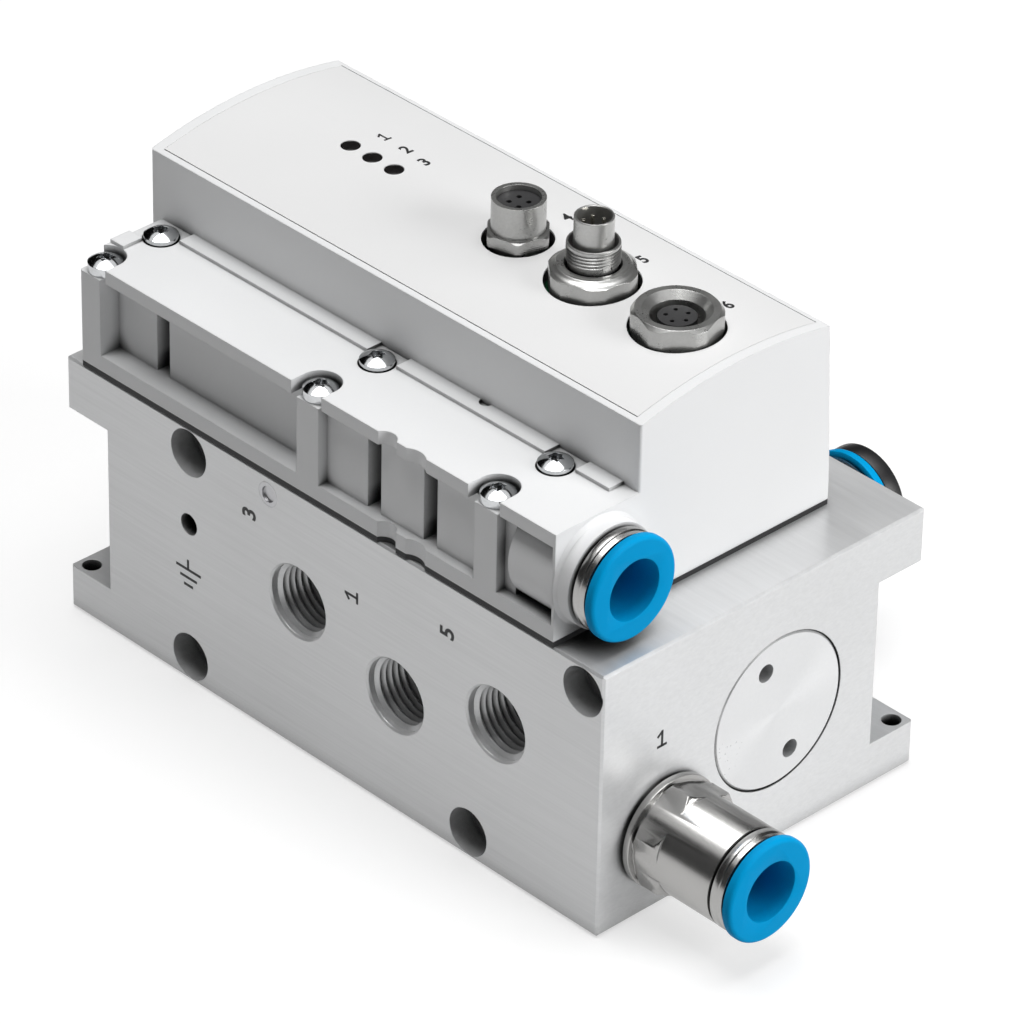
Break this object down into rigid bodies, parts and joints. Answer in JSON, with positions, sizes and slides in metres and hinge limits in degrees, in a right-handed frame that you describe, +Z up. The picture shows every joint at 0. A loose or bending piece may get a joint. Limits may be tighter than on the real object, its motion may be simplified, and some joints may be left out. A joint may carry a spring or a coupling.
{
  "type": "proportional directional control valve",
  "caption": "Proportional pneumatic valve: milled block with threaded ports, moulded electronics cover, round connectors and push-in tube fittings round a voice-coil spool.",
  "frame": {"origin": "middle of the block's bottom face", "axes": "+X along the block to the end with the fitting, -Y out of the front with its three ports, +Z up"},
  "size_m": [0.1519, 0.0983, 0.098],
  "materials": {
    "block_aluminium": "satin milled",
    "turned_aluminium": "turned",
    "grey_plastic": "fine matte",
    "white_sheet": "smooth matte",
    "black_rubber": "matte",
    "sleeve_steel": "ground",
    "pot_steel": "dark plated",
    "former_plastic": "matte",
    "copper_wire": "lacquered",
    "spring_steel": "bright",
    "zinc_screws": "bright zinc",
    "smoked_lens": "smoked",
    "green_board": "lacquered",
    "nickel_plate": "nickel plated",
    "dark_insert": "matte",
    "gold_pins": "bright",
    "blue_plastic": "satin",
    "black_plastic": "satin"
  },
  "bodies": {
    "valve": {"block": "block_aluminium", "channel_plug": "sleeve_steel", "end_cover": "turned_aluminium", "end_cover_seal": "black_rubber", "valve_sleeve": "sleeve_steel", "sleeve_seals": "black_rubber", "magnet_pot": "pot_steel", "magnet": "pot_steel", "pole_disc": "pot_steel", "left_spring": "spring_steel", "right_spring": "spring_steel", "cover_gasket": "black_rubber", "cover_housing": "grey_plastic", "roof_sheet": "white_sheet", "housing_screws": "zinc_screws", "light_guides": "smoked_lens", "circuit_board": "green_board", "board_screws": "zinc_screws", "connector_a_shell": "nickel_plate", "connector_a_insert": "dark_insert", "connector_b_shell": "nickel_plate", "connector_b_nut": "nickel_plate", "connector_b_insert": "dark_insert", "connector_b_pins": "gold_pins", "connector_c_shell": "nickel_plate", "connector_c_insert": "dark_insert", "fitting_1_body": "nickel_plate", "fitting_1_face_seal": "black_rubber", "fitting_1_tube_seal": "black_rubber", "fitting_1_grab_ring": "spring_steel", "fitting_1_rim": "nickel_plate", "fitting_2_body": "nickel_plate", "fitting_2_face_seal": "black_rubber", "fitting_2_tube_seal": "black_rubber", "fitting_2_grab_ring": "spring_steel", "fitting_2_rim": "nickel_plate", "fitting_2_plug": "black_plastic", "fitting_4_body": "nickel_plate", "fitting_4_face_seal": "black_rubber", "fitting_4_tube_seal": "black_rubber", "fitting_4_grab_ring": "spring_steel", "fitting_4_rim": "nickel_plate", "fitting_4_plug": "black_plastic", "socket_tube_seal": "black_rubber", "socket_grab_ring": "spring_steel", "socket_rim": "nickel_plate"},
    "spool_unit": {"spool": "sleeve_steel", "coil_former": "former_plastic", "coil_winding": "copper_wire"},
    "release_ring_1": {"fitting_1_release_ring": "blue_plastic"},
    "release_ring_2": {"fitting_2_release_ring": "blue_plastic"},
    "release_ring_4": {"fitting_4_release_ring": "blue_plastic"},
    "release_ring_socket": {"socket_release_ring": "blue_plastic"}
  },
  "joints": [
    {"name": "spool_slide", "type": "slide", "parent": "valve", "child": "spool_unit", "axis": [1, 0, 0], "range_m": [-0.002, 0.002], "stiffness_N_per_m": 1500, "deforming": ["left_spring", "right_spring"]},
    {"name": "release_ring_1_push", "type": "slide", "parent": "valve", "child": "release_ring_1", "axis": [-1, 0, 0], "range_m": [0, 0.0007], "stiffness_N_per_m": 400},
    {"name": "release_ring_2_push", "type": "slide", "parent": "valve", "child": "release_ring_2", "axis": [0, -1, 0], "range_m": [0, 0.0007], "stiffness_N_per_m": 400},
    {"name": "release_ring_4_push", "type": "slide", "parent": "valve", "child": "release_ring_4", "axis": [0, -1, 0], "range_m": [0, 0.0007], "stiffness_N_per_m": 400},
    {"name": "release_ring_socket_push", "type": "slide", "parent": "valve", "child": "release_ring_socket", "axis": [-1, 0, 0], "range_m": [0, 0.0007], "stiffness_N_per_m": 400}
  ]
}
